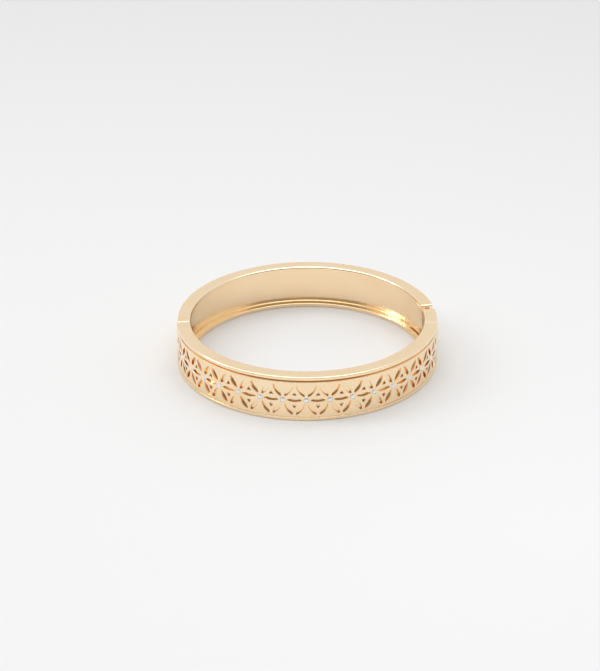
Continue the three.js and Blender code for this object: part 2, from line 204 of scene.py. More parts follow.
camera_back = Vector((
    math.sin(CAMERA_AZIMUTH) * math.cos(CAMERA_ELEVATION),
    -math.cos(CAMERA_AZIMUTH) * math.cos(CAMERA_ELEVATION),
    math.sin(CAMERA_ELEVATION),
))
camera_right = Vector((math.cos(CAMERA_AZIMUTH), math.sin(CAMERA_AZIMUTH), 0))
camera_up = camera_back.cross(camera_right)
aim = Vector((0, 0, HEIGHT / 2)) + camera_right * AIM_RIGHT + camera_up * AIM_UP
camera_data = bpy.data.cameras.new("studio_camera")
camera_data.lens = CAMERA_LENS
camera_data.clip_start = 0.01
camera_data.clip_end = 20
camera = linked("studio_camera", camera_data)
camera.location = aim + camera_back * CAMERA_DISTANCE
camera.rotation_euler = camera_back.to_track_quat("Z", "Y").to_euler()
bpy.context.scene.camera = camera

# ------------------------------------------------------------ the oval

OVAL_SAMPLES = 20000
oval_angles = np.linspace(0, 2 * math.pi, OVAL_SAMPLES + 1)
oval_speed = np.hypot(HALF_LENGTH * np.sin(oval_angles), HALF_DEPTH * np.cos(oval_angles))
oval_steps = (oval_speed[1:] + oval_speed[:-1]) / 2 * np.diff(oval_angles)
oval_lengths = np.concatenate([[0], np.cumsum(oval_steps)])
PERIMETER = oval_lengths[-1]


def oval_frame(distance):
    """The point, outward normal and tangent at distances along the oval, counter-clockwise from +X."""
    angle = np.interp(np.asarray(distance) % PERIMETER, oval_lengths, oval_angles)
    flat = np.zeros_like(angle)
    point = np.stack([HALF_LENGTH * np.cos(angle), HALF_DEPTH * np.sin(angle), flat], -1) + CENTRE
    normal = np.stack([np.cos(angle) / HALF_LENGTH, np.sin(angle) / HALF_DEPTH, flat], -1)
    normal /= np.linalg.norm(normal, axis=-1, keepdims=True)
    tangent = np.stack([-normal[..., 1], normal[..., 0], flat], -1)
    return point, normal, tangent


def distance_at_angle(angle):
    return float(np.interp(angle % (2 * math.pi), oval_angles, oval_lengths))


def distance_near(node):
    """The distance along the oval at which the middle of a CAD node lies."""
    middle = sum(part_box(node), Vector()) / 2 - Vector(CENTRE)
    return distance_at_angle(math.atan2(middle.y / HALF_DEPTH, middle.x / HALF_LENGTH))


hinge_at = distance_at_angle(math.asin(HINGE_Y / HALF_DEPTH))
clasp_at = distance_at_angle(math.pi - math.asin(CLASP_Y / HALF_DEPTH))
step_at = distance_at_angle(math.asin(STEP_Y / HALF_DEPTH))
BACK_START = hinge_at + SLOT_HALF
BACK_END = clasp_at - CLASP_GAP / 2
FRONT_START = clasp_at + CLASP_GAP / 2
FRONT_END = step_at
BLOCK_START = step_at + FIT_GAP
BLOCK_END = hinge_at + PERIMETER - SLOT_HALF

# ------------------------------------------------------------ meshes


def mesh_from(name, positions, faces, uvs, edge, normals, face_slots):
    """A smooth-shaded mesh with one UV for each vertex, and an edge attribute that says where a
    highlight is painted in paler gold.
    """
    mesh = bpy.data.meshes.new(name)
    mesh.from_pydata(np.asarray(positions).tolist(), [], faces)
    layer = mesh.uv_layers.new(name="UVMap")
    corner_vertices = np.zeros(len(mesh.loops), np.int32)
    mesh.loops.foreach_get("vertex_index", corner_vertices)
    layer.data.foreach_set("uv", np.asarray(uvs, np.float32)[corner_vertices].ravel())
    edge_highlight_layer = mesh.attributes.new("edge", "FLOAT", "POINT")
    edge_highlight_layer.data.foreach_set("value", np.asarray(edge, np.float32).ravel())
    mesh.polygons.foreach_set("material_index", np.asarray(face_slots, np.int32))
    mesh.shade_smooth()
    mesh.normals_split_custom_set_from_vertices(np.asarray(normals).tolist())
    mesh.update()
    return mesh


class Outline:
    """A counter-clockwise outline of (x, y, radius) corners, each turned into an arc."""

    def __init__(self, corners):
        centres, radii, mitres, normals, marks = [], [], [], [], []
        self.counts = []
        places = [np.array(corner[:2], float) for corner in corners]
        for i, (_, _, radius) in enumerate(corners):
            before = places[i] - places[i - 1]
            after = places[(i + 1) % len(places)] - places[i]
            before /= np.linalg.norm(before)
            after /= np.linalg.norm(after)
            turn = math.atan2(before[0] * after[1] - before[1] * after[0], before @ after)
            side = math.copysign(1, turn)
            outward = np.array([before[1], -before[0]])
            beyond = np.array([after[1], -after[0]])
            start = places[i] - before * radius * math.tan(abs(turn) / 2)
            count = max(2, round(abs(turn) / ARC_TURN))
            self.counts.append(count + 1)
            for k in range(count + 1):
                c, s = math.cos(turn * k / count), math.sin(turn * k / count)
                normals.append([c * outward[0] - s * outward[1], s * outward[0] + c * outward[1]])
                centres.append(start - outward * radius * side)
                radii.append(radius * side)
                mitres.append((outward + beyond) / (1 + outward @ beyond))
                # Convex arcs are marked most at their middle, for the painted edge highlight.
                marks.append(math.sin(math.pi * k / count) if side > 0 else 0)
        self.centres, self.mitres = np.array(centres), np.array(mitres)
        self.radii, self.normals = np.array(radii)[:, None], np.array(normals)
        self.marks = np.array(marks)

    def points(self, inset=0.0):
        """Its points, moved inwards. An arc that is used up becomes a very small one."""
        radii = self.radii - inset
        radii = np.where((self.radii > 0) & (radii < FINE_RADIUS), FINE_RADIUS, radii)
        used_up = radii - (self.radii - inset)
        return self.centres - self.mitres * used_up + self.normals * radii

    def slots(self, *stretches):
        """The material slot of each segment, from stretches of (first corner, last corner, slot)."""
        slots = [0] * sum(self.counts)
        for first, last, slot in stretches:
            begin = sum(self.counts[:first]) + self.counts[first] // 2
            finish = sum(self.counts[:last]) + self.counts[last] // 2
            slots[begin:finish] = [slot] * (finish - begin)
        return slots


def eased_ends(start, end, start_ease, end_ease):
    """Distances, insets and tilts of the sections of a sweep whose ends are both rounded."""
    turn = np.linspace(0, math.pi / 2, EASE_STEPS + 1)
    count = max(1, round((end - start) / STATION_STEP))
    middle = np.linspace(start + start_ease, end - end_ease, count + 1)[1:-1]
    first = start + start_ease * (1 - np.sin(turn))[::-1]
    last = end - end_ease * (1 - np.sin(turn))
    distances = np.concatenate([first, middle, last])
    insets = np.concatenate([
        start_ease * (1 - np.cos(turn))[::-1],
        np.zeros(len(middle)),
        end_ease * (1 - np.cos(turn)),
    ])
    tilts = np.concatenate([-turn[::-1], np.zeros(len(middle)), turn])
    return distances, insets, tilts


def sweep(name, distances, points, normals, tilts, marks, slots):
    """A closed mesh through sections of (offset, z) points, one section for each distance.

    Each point's normal is tilted along the oval. The marks say which points of a section are on an
    edge, where a highlight is painted in paler gold, and the slots give the material of each stretch
    between two points.
    """
    point, outward, along = oval_frame(distances)
    up = np.array([0.0, 0.0, 1.0])
    across, rise = points[..., :1], points[..., 1:]
    positions = point[:, None] + across * outward[:, None] + rise * up
    facing = normals[..., :1] * outward[:, None] + normals[..., 1:] * up
    tilt = tilts[..., None]
    facing = np.cos(tilt) * facing + np.sin(tilt) * along[:, None]
    sections, size = points.shape[:2]
    spacing = np.linalg.norm(np.diff(points[len(points) // 2], axis=0), axis=1)
    around = np.concatenate([[0], np.cumsum(spacing)])
    uvs = np.stack(np.broadcast_arrays(distances[:, None] - distances[0], around[None]), -1)
    # The painted edge highlight: on the marked edges and all round the rounded ends.
    edge = np.maximum(marks, np.abs(np.sin(tilts)))
    faces, face_slots = [list(range(size))], [0]
    for i in range(sections - 1):
        for j in range(size):
            k = (j + 1) % size
            faces.append([i * size + j, (i + 1) * size + j, (i + 1) * size + k, i * size + k])
            face_slots.append(slots[j])
    faces.append([(sections - 1) * size + j for j in reversed(range(size))])
    face_slots.append(0)
    return mesh_from(
        name,
        positions.reshape(-1, 3),
        faces,
        uvs.reshape(-1, 2),
        edge=edge,
        normals=facing.reshape(-1, 3),
        face_slots=face_slots,
    )


def even_sweep(name, corners, start, end, start_ease, end_ease, *stretches):
    """A sweep of one section, with other materials on some stretches of its outline."""
    outline = Outline(corners)
    distances, insets, tilts = eased_ends(start, end, start_ease, end_ease)
    points = np.array([outline.points(inset) for inset in insets])
    normals = np.broadcast_to(outline.normals, points.shape)
    tilts = np.repeat(tilts[:, None], len(outline.marks), axis=1)
    return sweep(name, distances, points, normals, tilts, outline.marks, outline.slots(*stretches))


def boolean(mesh, operation, *tools):
    """The mesh joined with, or cut by, the tools."""
    base = linked("base", mesh)
    helpers = [linked("tool", tool) for tool in tools]
    for helper in helpers:
        modifier = base.modifiers.new("cut", "BOOLEAN")
        modifier.operation = operation
        modifier.solver = "EXACT"
        modifier.object = helper
    graph = bpy.context.evaluated_depsgraph_get()
    made = bpy.data.meshes.new_from_object(base.evaluated_get(graph))
    for item in [base, *helpers]:
        bpy.data.objects.remove(item)
    return made


def smooth_mesh(work, mesh):
    """The mesh with a bmesh written into it, shaded smooth."""
    work.to_mesh(mesh)
    work.free()
    mesh.shade_smooth()
    return mesh


def prism(outline, low, high, bevel=0.0):
    """An upright solid with a given outline of (x, y) points, its top and bottom edges bevelled."""
    work = bmesh.new()
    floor = work.faces.new([work.verts.new((x, y, low)) for x, y in outline])
    raised = bmesh.ops.extrude_face_region(work, geom=[floor])["geom"]
    for vertex in raised:
        if isinstance(vertex, bmesh.types.BMVert):
            vertex.co.z = high
    if bevel:
        rims = [e for e in work.edges if abs(e.verts[0].co.z - e.verts[1].co.z) < bevel]
        bmesh.ops.bevel(work, geom=rims, offset=bevel, segments=2, profile=0.5, affect="EDGES")
    bmesh.ops.recalc_face_normals(work, faces=work.faces)
    layer = work.loops.layers.uv.new("UVMap")
    for face in work.faces:
        for loop in face.loops:
            loop[layer].uv = (loop.vert.co.x + loop.vert.co.y, loop.vert.co.z)
    return smooth_mesh(work, bpy.data.meshes.new("prism"))


def hinge_circle(radius):
    """Points round the hinge axis."""
    angles = np.arange(ROUND_SIDES) * 2 * math.pi / ROUND_SIDES
    return [(HINGE_X + radius * math.cos(a), HINGE_AXIS_Y + radius * math.sin(a)) for a in angles]


def rod(radius, low, high):
    """A cylinder on the hinge axis."""
    return prism(hinge_circle(radius), low, high)


SHARP_ANGLE = math.radians(32)


def piece(mesh, node, body, slot, *materials):
    """Puts a mesh in the scene in place of a CAD node."""
    face_slots = [face.material_index for face in mesh.polygons]
    mesh.materials.clear()
    for material in materials:
        mesh.materials.append(material)
    mesh.polygons.foreach_set("material_index", face_slots)
    made = linked(f"{node}_detail", mesh)
    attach(made, body)
    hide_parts(node)
    return made


def cut_piece(mesh, node, body, slot, *materials):
    """A piece made by booleans: its flat faces shade flat and its rounded ones smooth."""
    made = piece(mesh, node, body, slot, *materials)
    mesh.set_sharp_from_angle(angle=SHARP_ANGLE)
    weighted = made.modifiers.new("weighted_normals", "WEIGHTED_NORMAL")
    weighted.keep_sharp = True
    return made


# ------------------------------------------------------------ materials

GOLD_LIGHT = (1.0, 0.79, 0.53, 1)
GOLD_DEEP = (0.99, 0.755, 0.48, 1)
# A paler gold painted on the crest of rounded edges as a highlight.
GOLD_EDGE_HIGHLIGHT = (1.0, 0.84, 0.62, 1)
GOLD_FACE = (1.0, 0.8, 0.55, 1)
# A darker, redder gold for the walls of the panel's piercings: painted shade for the depths of the
# holes.
PAINTED_SHADE_LIGHT = (1.0, 0.57, 0.24, 1)
PAINTED_SHADE_DEEP = (0.96, 0.48, 0.18, 1)

PLATE_ROUGHNESS = (0.13, 0.24)
RECESS_ROUGHNESS = (0.16, 0.26)
FACE_ROUGHNESS = (0.2, 0.3)
TRAY_ROUGHNESS = (0.1, 0.18)
CAST_ROUGHNESS = (0.12, 0.2)
BRUSH_DEPTH = 0.0012 * MM
FACE_BRUSH_DEPTH = 0.001 * MM
GRAIN_DEPTH = 0.0008 * MM
PANEL_GRAIN_DEPTH = 0.0016 * MM

# The light and dark colour of each other material.
BRONZE = ((0.9, 0.62, 0.34, 1), (0.75, 0.48, 0.24, 1))
BRONZE_ROUGHNESS = (0.25, 0.4)
NICKEL = ((0.62, 0.62, 0.63, 1), (0.5, 0.5, 0.52, 1))
NICKEL_ROUGHNESS = (0.15, 0.32)
CRYSTAL = ((0.96, 0.97, 1, 1), (0.88, 0.9, 0.94, 1))
FOIL = ((0.84, 0.86, 0.9, 1), (0.72, 0.74, 0.78, 1))

# Noise scales, in waves for each metre of each axis.
BRUSHING = (260, 15000, 1)
PLATE_CLOUDS = (110, 110, 110)
PLATE_GRAIN = (7000, 7000, 7000)
CAST_CLOUDS = (160, 160, 160)
CAST_SKIN = (1500, 1500, 900)
CAST_PEBBLES = (1300, 1300, 1300)
TOOL_MARKS = (900, 900, 9000)
TURNED_CLOUDS = (700, 700, 700)
STONE_HAZE = (5000, 5000, 5000)

# Where the casting is pebbled, as two stretches in which the pebbles rise and fall again: along the
# wall from its first end, which is the back shell's hinge and the front shell's clasp, and up it.
PEBBLED_ALONG = ((10 * MM, 14 * MM), (24 * MM, 32 * MM))
PEBBLED_UP = ((1.2 * MM, 1.6 * MM), (2.5 * MM, 4.5 * MM))
PEBBLE_DEPTH = 0.12 * MM
SKIN_DEPTH = 0.003 * MM
TOOL_MARK_DEPTH = 0.002 * MM

# How much of a foiled stone shines like its foil, and its skin of glass.
STONE_ROUGHNESS = (0.1, 0.22)
FOIL_SHARE = 0.7
GLASS_IOR = 1.62
GLASS_ROUGHNESS = 0.02


class Graph:
    """The nodes of a material or world. An input takes a value or the output of another node."""

    def __init__(self, owner, shader="Principled BSDF"):
        owner.use_nodes = True
        self.tree = owner.node_tree
        self.shader = self.tree.nodes[shader]
        self.places = self.tree.nodes.new("ShaderNodeTexCoord").outputs

    def fill(self, node, inputs):
        for name, value in inputs.items():
            if isinstance(value, bpy.types.NodeSocket):
                self.tree.links.new(value, node.inputs[name])
            else:
                node.inputs[name].default_value = value

    def add(self, kind, inputs, **settings):
        """A new node, whose settings are made before its inputs are filled."""
        node = self.tree.nodes.new(kind)
        for setting, value in settings.items():
            setattr(node, setting, value)
        self.fill(node, inputs)
        return node

    def noise(self, space, scale, detail=4.0, roughness=0.6):
        """Noise with a different scale on each axis of its coordinates."""
        mapping = self.add("ShaderNodeMapping", {"Scale": scale, "Vector": self.places[space]})
        inputs = {"Scale": 1, "Detail": detail, "Roughness": roughness}
        inputs["Vector"] = mapping.outputs["Vector"]
        return self.add("ShaderNodeTexNoise", inputs).outputs["Fac"]

    def remap(self, source, low, high, from_low=0.3, from_high=0.7):
        """A 0 to 1 pattern as a range of values."""
        inputs = {"From Min": from_low, "From Max": from_high, "To Min": low, "To Max": high}
        inputs["Value"] = source
        return self.add("ShaderNodeMapRange", inputs).outputs["Result"]

    def mix(self, factor, first, second):
        """A colour between two others."""
        inputs = {"Factor": factor, "A": first, "B": second}
        return self.add("ShaderNodeMix", inputs, data_type="RGBA").outputs["Result"]

    def bump(self, height, distance, before=None):
        """A normal bumped by a height, on top of one that was bumped before."""
        inputs = {"Strength": 1, "Distance": distance, "Height": height}
        if before is not None:
            inputs["Normal"] = before
        return self.add("ShaderNodeBump", inputs).outputs["Normal"]

    def product(self, first, second):
        node = self.add("ShaderNodeMath", {0: first, 1: second}, operation="MULTIPLY")
        return node.outputs["Value"]

    def window(self, source, rises, falls):
        """1 between the two stretches in which the source rises and falls, and 0 outside them."""
        return self.product(self.remap(source, 0, 1, *rises), self.remap(source, 1, 0, *falls))


def new_material(name):
    material = bpy.data.materials.new(name)
    return material, Graph(material)


def plated_gold(name, rough, brush, grain, light=GOLD_LIGHT, deep=GOLD_DEEP):
    """Gold plating, brushed along the oval, with a faint grain and a highlight painted on its edges in
    paler gold.
    """
    material, graph = new_material(name)
    brushed = graph.noise("UV", BRUSHING)
    clouds = graph.noise("Object", PLATE_CLOUDS, 2)
    grains = graph.noise("Object", PLATE_GRAIN, 3)
    edge = graph.add("ShaderNodeAttribute", {}, attribute_name="edge").outputs["Fac"]
    tint = graph.mix(graph.remap(clouds, 0, 1), light, deep)
    graph.fill(graph.shader, {
        # Paler gold where the edge attribute is high: a painted edge highlight.
        "Base Color": graph.mix(edge, tint, GOLD_EDGE_HIGHLIGHT),
        "Roughness": graph.remap(brushed, *rough),
        "Normal": graph.bump(grains, grain, graph.bump(brushed, brush)),
        "Metallic": 1,
    })
    return material


def cast_gold():
    """Plating over a casting that was never polished, and is pebbled in one place."""
    material, graph = new_material("cast_gold")
    clouds = graph.noise("Object", CAST_CLOUDS, 3)
    skin = graph.noise("Object", CAST_SKIN, 4, 0.55)
    pebbles = graph.noise("Object", CAST_PEBBLES, 2, 0.5)
    along = graph.add("ShaderNodeSeparateXYZ", {"Vector": graph.places["UV"]}).outputs["X"]
    height = graph.add("ShaderNodeSeparateXYZ", {"Vector": graph.places["Object"]}).outputs["Z"]
    there = graph.product(graph.window(along, *PEBBLED_ALONG), graph.window(height, *PEBBLED_UP))
    pebbled = graph.product(pebbles, there)
    graph.fill(graph.shader, {
        "Base Color": graph.mix(graph.remap(clouds, 0, 1), GOLD_LIGHT, GOLD_DEEP),
        "Roughness": graph.remap(clouds, *CAST_ROUGHNESS),
        "Normal": graph.bump(pebbled, PEBBLE_DEPTH, graph.bump(skin, SKIN_DEPTH)),
        "Metallic": 1,
    })
    return material


def turned_metal(name, colour, dark, rough):
    """Small turned or pressed metal parts with fine tool marks."""
    material, graph = new_material(name)
    marks = graph.noise("Object", TOOL_MARKS, 3)
    clouds = graph.noise("Object", TURNED_CLOUDS, 3)
    graph.fill(graph.shader, {
        "Base Color": graph.mix(graph.remap(clouds, 0, 1), colour, dark),
        "Roughness": graph.remap(clouds, *rough),
        "Normal": graph.bump(marks, TOOL_MARK_DEPTH),
        "Metallic": 1,
    })
    return material


def foiled_crystal(name, colour, dark):
    """A stone over foil: as bright as the foil under a glossy skin of glass, with a faint haze."""
    material, graph = new_material(name)
    haze = graph.noise("Object", STONE_HAZE, 2)
    graph.fill(graph.shader, {
        "Base Color": graph.mix(graph.remap(haze, 0, 1), colour, dark),
        "Roughness": graph.remap(haze, *STONE_ROUGHNESS),
        "Metallic": FOIL_SHARE,
        "Coat Weight": 1,
        "Coat IOR": GLASS_IOR,
        "Coat Roughness": GLASS_ROUGHNESS,
    })
    return material


gold_plate = plated_gold("gold_plate", PLATE_ROUGHNESS, BRUSH_DEPTH, GRAIN_DEPTH)
gold_painted_shade = plated_gold(
    "gold_painted_shade", RECESS_ROUGHNESS, BRUSH_DEPTH, PANEL_GRAIN_DEPTH, PAINTED_SHADE_LIGHT, PAINTED_SHADE_DEEP
)
gold_face = plated_gold("gold_face", FACE_ROUGHNESS, FACE_BRUSH_DEPTH, PANEL_GRAIN_DEPTH, GOLD_FACE)
gold_tray = plated_gold("gold_tray", TRAY_ROUGHNESS, FACE_BRUSH_DEPTH, GRAIN_DEPTH, GOLD_FACE)
gold_hollow = cast_gold()
pin_metal = turned_metal("pin_metal", *BRONZE, BRONZE_ROUGHNESS)
magnet_metal = turned_metal("magnet_metal", *NICKEL, NICKEL_ROUGHNESS)
crystal = foiled_crystal("crystal", *CRYSTAL)
foil = foiled_crystal("stone_foil", *FOIL)

# ------------------------------------------------------------ sections


def channel_corners(proud, tray=()):
    """A wall with eased edges, hollowed from the inner side between two flanges."""
    return [
        (proud, 0, EDGE_RADIUS),
        *tray,
        (proud, HEIGHT, EDGE_RADIUS),
        (-WALL, HEIGHT, TOP_INNER_RADIUS),
        (-WALL, HEIGHT - FLANGE, FLANGE_LIP),
        (HOLLOW_OFFSET, HEIGHT - FLANGE, HOLLOW_CORNER),
        (HOLLOW_OFFSET, FLANGE, HOLLOW_CORNER),
        (-WALL, FLANGE, FLANGE_LIP),
        (-WALL, 0, EDGE_RADIUS),
    ]


def insert_corners():
    """What fills the hollow at the end of a shell."""
    low, high = FLANGE + FIT_GAP, HEIGHT - FLANGE - FIT_GAP
    deep = HOLLOW_OFFSET - FIT_GAP
    return [
        (deep, low, HOLLOW_CORNER),
        (deep, high, HOLLOW_CORNER),
        (-WALL, high, INSERT_EDGE),
        (-WALL, low, INSERT_EDGE),
    ]


# ------------------------------------------------------------ front shell

# The corners of a plain channel between which its hollow lies, how many more a tray adds before
# them, and the material slots of the two.
HOLLOW_STRETCH = (3, 6)
TRAY_CORNERS = 4
HOLLOW_SLOT = 1
TRAY_SLOT = 2


def front_shell():
    """The front casting: a channel with a tray in its outer face for the panel."""
    tray = [
        (PROUD, BOTTOM_RAIL, TRAY_LIP),
        (TRAY_FLOOR, BOTTOM_RAIL + TRAY_DRAFT, TRAY_CORNER),
        (TRAY_FLOOR, HEIGHT - TOP_RAIL - TRAY_DRAFT, TRAY_CORNER),
        (PROUD, HEIGHT - TOP_RAIL, TRAY_LIP),
    ]
    outline = Outline(channel_corners(PROUD, tray))
    deep = outline.points()
    in_tray = np.zeros(len(deep), bool)
    in_tray[outline.counts[0] : sum(outline.counts[: TRAY_CORNERS + 1])] = True
    shallow_normals = outline.normals.copy()
    shallow_normals[in_tray] = (1, 0)
    depth = PROUD - TRAY_FLOOR

    # Sections through the end wall of the tray: how far past it, how deep and how far tilted.
    short = 1 - math.sin(math.pi / 4)
    wall = [
        (-TRAY_LIP, 0, 0),
        (-TRAY_LIP * short, TRAY_LIP * short, math.pi / 4),
        (0, TRAY_LIP, math.pi / 2),
        (TRAY_DRAFT, depth - TRAY_CORNER, math.pi / 2),
        (TRAY_DRAFT + TRAY_CORNER * short, depth - TRAY_CORNER * short, math.pi / 4),
        (TRAY_DRAFT + TRAY_CORNER, depth, 0),
    ]
    distances, insets, tilts = eased_ends(FRONT_START, FRONT_END, CLASP_EASE, STEP_EASE)
    tray_start, tray_end = FRONT_START + STILE, FRONT_END - STILE
    room = TRAY_LIP + TRAY_CORNER
    keep = (np.abs(distances - tray_start) > 2 * room) & (np.abs(distances - tray_end) > 2 * room)
    rows = [
        (distance, inset, tilt, depth * (tray_start < distance < tray_end), 0)
        for distance, inset, tilt in zip(distances[keep], insets[keep], tilts[keep])
    ]
    rows += [(tray_start + past, 0, 0, sunk, tilt) for past, sunk, tilt in wall]
    rows += [(tray_end - past, 0, 0, sunk, -tilt) for past, sunk, tilt in wall]
    rows.sort()
    points, normals, turns = [], [], []
    for _, inset, tilt, sunk, tray_tilt in rows:
        shallow = outline.points(inset)
        shallow[in_tray] = deep[in_tray]
        shallow[in_tray, 0] = PROUD - inset
        points.append(shallow + (deep - shallow) * sunk / depth)
        normals.append(outline.normals if sunk == depth else shallow_normals)
        turns.append(np.where(in_tray, tray_tilt, tilt))
    hollow = [corner + TRAY_CORNERS for corner in HOLLOW_STRETCH]
    return sweep(
        "front_shell",
        np.array([row[0] for row in rows]),
        np.array(points),
        np.array(normals),
        np.array(turns),
        outline.marks,
        outline.slots((1, TRAY_CORNERS, TRAY_SLOT), (*hollow, HOLLOW_SLOT)),
    )


piece(front_shell(), "front_shell", "front_half", "gold_plate", gold_plate, gold_hollow, gold_tray)

# ------------------------------------------------------------ pierced panel


def outline_points(arcs):
    """Points and outward normals round a smooth convex outline of (x, y, radius, from, to) arcs."""
    points, normals = [], []
    for x, y, radius, start, end in arcs:
        count = max(2, round((end - start) * math.sqrt(radius / MM) / PIERCING_TURN))
        angles = np.linspace(start, end, count + 1)
        facing = np.stack([np.cos(angles), np.sin(angles)], -1)
        points.append(np.array([x, y]) + facing * radius)
        normals.append(facing)
    points, normals = np.concatenate(points), np.concatenate(normals)
    fresh = np.linalg.norm(points - np.roll(points, 1, 0), axis=1) > SAME_POINT
    return points[fresh], normals[fresh]


def petal_arcs(length, width):
    """An upright lens with rounded tips."""
    half, tip_y = width / 2, length / 2 - PETAL_TIP
    radius = (tip_y**2 + half**2 - PETAL_TIP**2) / (2 * (half - PETAL_TIP))
    turn = math.atan2(tip_y, radius - half)
    return [
        (half - radius, 0, radius, -turn, turn),
        (0, tip_y, PETAL_TIP, turn, math.pi - turn),
        (radius - half, 0, radius, math.pi - turn, math.pi + turn),
        (0, -tip_y, PETAL_TIP, math.pi + turn, 2 * math.pi - turn),
    ]


def spur_arcs():
    """A small triangle that points up, with rounded corners."""
    slope = math.atan2(SPUR_TALL, SPUR_HALF_WIDTH)
    low = -SPUR_TALL / 2 + SPUR_TIP
    side = SPUR_HALF_WIDTH - SPUR_TIP / math.tan(slope / 2)
    top = SPUR_TALL / 2 - SPUR_TIP / math.cos(slope)
    right = math.pi / 2 - slope
    return [
        (side, low, SPUR_TIP, -math.pi / 2, right),
        (0, top, SPUR_TIP, right, math.pi - right),
        (-side, low, SPUR_TIP, math.pi - right, 3 * math.pi / 2),
    ]


def seat_arcs():
    return [(0, 0, SEAT_RADIUS, 0, 2 * math.pi)]


def placed_outline(arcs, distance, rise, turn):
    """An outline as points and normals in the panel's own flat space of distance and height."""
    points, normals = outline_points(arcs)
    c, s = math.cos(turn), math.sin(turn)
    spin = np.array([[c, s], [-s, c]])
    return points @ spin + (distance, rise), normals @ spin


stone_nodes = sorted(name for name in frame["nodes"] if name.startswith("crystal_"))
stone_distances = [distance_near(name) for name in stone_nodes]
stone_low, stone_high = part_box(stone_nodes[0])
STONE_ROW = (stone_low.z + stone_high.z) / 2
STONE_PITCH = (stone_distances[-1] - stone_distances[0]) / (len(stone_nodes) - 1)


def piercings():
    """Every hole of the panel: its outline, its normals and whether it goes right through."""
    length = STONE_PITCH - 2 * PETAL_START
    slanted, level = petal_arcs(length, PETAL_WIDTH), petal_arcs(length, LEVEL_PETAL_WIDTH)
    holes = []
    for i, here in enumerate(stone_distances):
        holes.append((*placed_outline(seat_arcs(), here, STONE_ROW, 0), False))
        for side in (-1, 1):
            if 0 <= i + side < len(stone_distances):
                beside = here + side * STONE_PITCH / 4
                for up in (-1, 1):
                    rise, lean = up * PETAL_RISE, -side * up * PETAL_LEAN
                    holes.append((*placed_outline(slanted, beside, STONE_ROW + rise, lean), True))
        if i + 1 < len(stone_distances):
            between = here + STONE_PITCH / 2
            holes.append((*placed_outline(level, between, STONE_ROW, math.pi / 2), True))
            holes.append((*placed_outline(spur_arcs(), between, STONE_ROW + SPUR_RISE, 0), True))
            holes.append((*placed_outline(spur_arcs(), between, STONE_ROW - SPUR_RISE, math.pi), True))
    return holes


def panel_face(loops, border, inside):
    """Triangles of a flat face: its border and hole loops, filled with a grid so that it can bend."""
    places = list(border) + [p for loop in loops for p in loop]
    edges, owner = [], [-1] * len(border)
    first = 0
    for number, loop in enumerate([border, *loops]):
        count = len(loop)
        edges += [(first + k, first + (k + 1) % count) for k in range(count)]
        owner += [number] * count if number else []
        first += count
    places += list(inside)
    owner += [-1] * len(inside)
    spots = [Vector(p) / MM for p in places]
    _, _, triangles, origins, _, _ = delaunay_2d_cdt(spots, edges, [], 0, CDT_MERGE)
    kept = []
    for triangle in triangles:
        names = [origins[v][0] for v in triangle]
        owners = {owner[v] for v in names}
        if len(owners) > 1 or owners == {-1}:
            kept.append(names)
    return kept


def grid_inside(low, high, holes):
    """Grid points of the panel's flat space that lie clear of its border and of every hole."""
    across = np.arange(low[0] + GRID_STEP, high[0] - GRID_STEP / 2, GRID_STEP)
    upward = np.linspace(low[1], high[1], round((high[1] - low[1]) / GRID_STEP) + 1)[1:-1]
    grid = np.stack(np.meshgrid(across, upward), -1).reshape(-1, 2)
    for points, normals, _ in holes:
        near = np.abs(grid - points.mean(0)).max(1) < STONE_PITCH / 2
        reach = ((grid[near][:, None] - points[None]) * normals[None]).sum(-1).max(1)
        clear = np.ones(len(grid), bool)
        clear[np.flatnonzero(near)[reach < HOLE_MARGIN]] = False
        grid = grid[clear]
    return grid


def panel_rings(points, normals, side, through):
    """The loops down one edge of the panel: places, normals, depth and how far they face forwards."""
    turns = np.linspace(0, math.pi / 2, EDGE_STEPS + 1)
    rings = [
        (
            points + side * normals * PANEL_EDGE * (1 - math.sin(turn)),
            -side * normals * math.sin(turn),
            PANEL_EDGE * (1 - math.cos(turn)),
            math.cos(turn),
        )
        for turn in turns
    ]
    foot = PANEL_THICKNESS - PANEL_EDGE / 2 if through else SEAT_DEPTH
    rings.append((points, -side * normals, foot, 0))
    if through:
        rings.append((points + side * normals * PANEL_EDGE / 2, 0 * normals, PANEL_THICKNESS, -1))
    return rings


